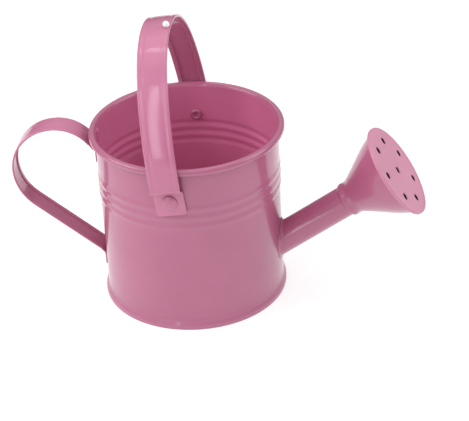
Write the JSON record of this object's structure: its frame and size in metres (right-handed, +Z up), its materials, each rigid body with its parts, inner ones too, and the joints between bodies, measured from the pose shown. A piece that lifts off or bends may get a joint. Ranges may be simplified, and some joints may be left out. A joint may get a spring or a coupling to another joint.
{
  "type": "small watering can",
  "caption": "Small round sheet-metal watering can with a rear strap handle, a swinging bail and a slanted spout ending in a perforated rose.",
  "frame": {"origin": "centre of the foot ring, on the ground", "axes": "+Z up, +X towards the spout and rose, -X towards the rear strap handle, -Y towards the front bail rivet"},
  "size_m": [0.228, 0.1138, 0.1637],
  "materials": {
    "pink_paint": "satin",
    "rivet_paint": "satin",
    "pale_button": "gloss"
  },
  "bodies": {
    "can": {"can_wall": "pink_paint", "can_base": "pink_paint", "spout_tube": "pink_paint", "rose_cone": "pink_paint", "rose_face": "pink_paint", "rear_handle": "pink_paint", "bail_rivet_front": "rivet_paint", "bail_rivet_rear": "rivet_paint"},
    "bail": {"bail_handle": "pink_paint", "strap_button": "pale_button"}
  },
  "joints": [
    {"name": "bail_swing", "type": "hinge", "parent": "can", "child": "bail", "pos_m": [-0.0025, 0, 0.081], "axis": [0, 1, 0], "range_deg": [-62, 108]}
  ]
}
